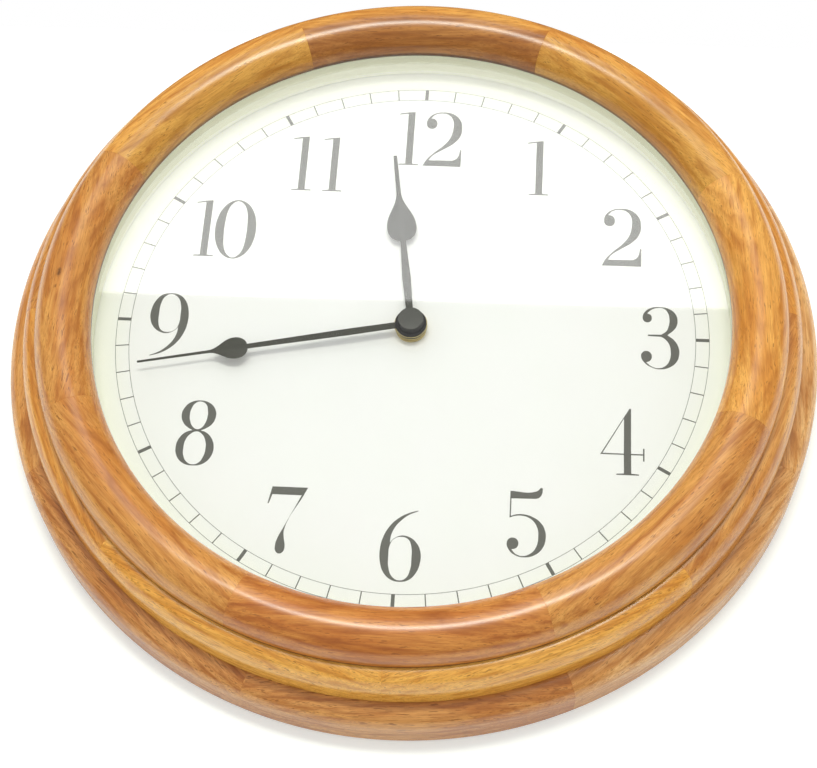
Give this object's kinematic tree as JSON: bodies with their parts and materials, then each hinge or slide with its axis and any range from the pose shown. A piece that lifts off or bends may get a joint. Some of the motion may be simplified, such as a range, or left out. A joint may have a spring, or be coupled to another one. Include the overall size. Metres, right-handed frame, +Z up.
{
  "type": "wall clock",
  "caption": "Round wooden quartz wall clock: stepped ring of glued staves, white dial under glass, black spade hands, and a battery movement with its gear train on the back.",
  "frame": {"origin": "the wall screw's axis in the wall plane, at the top of the hanger's keyhole slot; the dial's centre is 0.189 m below it", "axes": "+Z up to 12 o'clock as the clock hangs, the dial faces -Y, the wall is the plane y = 0, and 3 o'clock is at +X"},
  "size_m": [0.4048, 0.0631, 0.4048],
  "materials": {
    "oak": "glossy clear lacquer",
    "glass": "flat clear glass",
    "card": "matt card",
    "dial_paper": "printed off-white sheet",
    "hardboard": "bare hardboard",
    "zinc_steel": "zinc plated",
    "stator_steel": "bare steel",
    "case_plastic": "black moulded plastic",
    "cap_plastic": "satin black",
    "gear_plastic": "white moulded plastic",
    "washer_rubber": "black rubber",
    "brass": "bright turned brass",
    "copper_wire": "enamelled copper wire",
    "magnet": "sintered magnet",
    "circuit_board": "green lacquered board",
    "battery_wrap": "plain dark wrapper",
    "hand_paint": "black paint"
  },
  "bodies": {
    "frame": {"base_stave_1": "oak", "base_stave_2": "oak", "base_stave_3": "oak", "base_stave_4": "oak", "base_stave_5": "oak", "base_stave_6": "oak", "base_stave_7": "oak", "base_stave_8": "oak", "middle_stave_1": "oak", "middle_stave_2": "oak", "middle_stave_3": "oak", "middle_stave_4": "oak", "middle_stave_5": "oak", "middle_stave_6": "oak", "middle_stave_7": "oak", "middle_stave_8": "oak", "front_stave_1": "oak", "front_stave_2": "oak", "front_stave_3": "oak", "front_stave_4": "oak", "front_stave_5": "oak", "front_stave_6": "oak", "front_stave_7": "oak", "front_stave_8": "oak", "glass": "glass", "spacer_ring": "card", "dial": "dial_paper", "backing_board": "hardboard", "board_screw_1": "zinc_steel", "board_screw_2": "zinc_steel", "board_screw_3": "zinc_steel", "keyhole_plate": "zinc_steel", "keyhole_screw_1": "zinc_steel", "keyhole_screw_2": "zinc_steel", "movement_case": "case_plastic", "movement_cover": "case_plastic", "train_plate": "gear_plastic", "threaded_bush": "brass", "rubber_washer": "washer_rubber", "brass_washer": "brass", "hex_nut": "brass", "stator": "stator_steel", "coil": "copper_wire", "circuit_board": "circuit_board", "quartz_crystal": "zinc_steel", "battery": "battery_wrap", "contact_plus": "zinc_steel", "contact_minus": "zinc_steel"},
    "hour_work": {"hour_wheel": "gear_plastic", "hour_hand": "hand_paint"},
    "minute_work": {"minute_arbor": "brass", "minute_hand": "hand_paint", "hub_cap": "cap_plastic"},
    "minute_gear": {"minute_wheel": "gear_plastic"},
    "knob": {"setting_knob": "case_plastic"},
    "centre_gear": {"centre_wheel": "gear_plastic"},
    "third_gear": {"third_wheel": "gear_plastic"},
    "seconds_gear": {"seconds_wheel": "gear_plastic"},
    "intermediate_gear": {"intermediate_wheel": "gear_plastic"},
    "motor_rotor": {"rotor": "magnet"}
  },
  "joints": [
    {"name": "minute_spin", "type": "hinge", "parent": "frame", "child": "minute_work", "pos_m": [0, 0, -0.189], "axis": [0, 1, 0], "continuous": true},
    {"name": "hour_spin", "type": "hinge", "parent": "frame", "child": "hour_work", "pos_m": [0, 0, -0.189], "axis": [0, 1, 0], "continuous": true},
    {"name": "minute_gear_spin", "type": "hinge", "parent": "frame", "child": "minute_gear", "pos_m": [0.00902, 0, -0.18572], "axis": [0, 1, 0], "continuous": true},
    {"name": "knob_spin", "type": "hinge", "parent": "frame", "child": "knob", "pos_m": [0.01829, 0, -0.1882], "axis": [0, 1, 0], "continuous": true},
    {"name": "rotor_spin", "type": "hinge", "parent": "frame", "child": "motor_rotor", "pos_m": [0.01122, 0, -0.1769], "axis": [0, 1, 0], "continuous": true},
    {"name": "intermediate_spin", "type": "hinge", "parent": "frame", "child": "intermediate_gear", "pos_m": [0.00285, 0, -0.17837], "axis": [0, 1, 0], "continuous": true},
    {"name": "seconds_spin", "type": "hinge", "parent": "frame", "child": "seconds_gear", "pos_m": [0, 0, -0.189], "axis": [0, 1, 0], "continuous": true},
    {"name": "third_spin", "type": "hinge", "parent": "frame", "child": "third_gear", "pos_m": [-0.00935, 0, -0.1836], "axis": [0, 1, 0], "continuous": true},
    {"name": "centre_spin", "type": "hinge", "parent": "frame", "child": "centre_gear", "pos_m": [0, 0, -0.189], "axis": [0, 1, 0], "continuous": true}
  ],
  "couplings": [
    {"joint": "hour_spin", "follows": "minute_spin", "ratio": 0.083333},
    {"joint": "minute_gear_spin", "follows": "minute_spin", "ratio": -0.33333},
    {"joint": "knob_spin", "follows": "minute_spin", "ratio": 1},
    {"joint": "intermediate_spin", "follows": "rotor_spin", "ratio": -0.13333},
    {"joint": "seconds_spin", "follows": "rotor_spin", "ratio": 0.033333},
    {"joint": "third_spin", "follows": "rotor_spin", "ratio": -0.0044444},
    {"joint": "centre_spin", "follows": "rotor_spin", "ratio": 0.00055556}
  ]
}
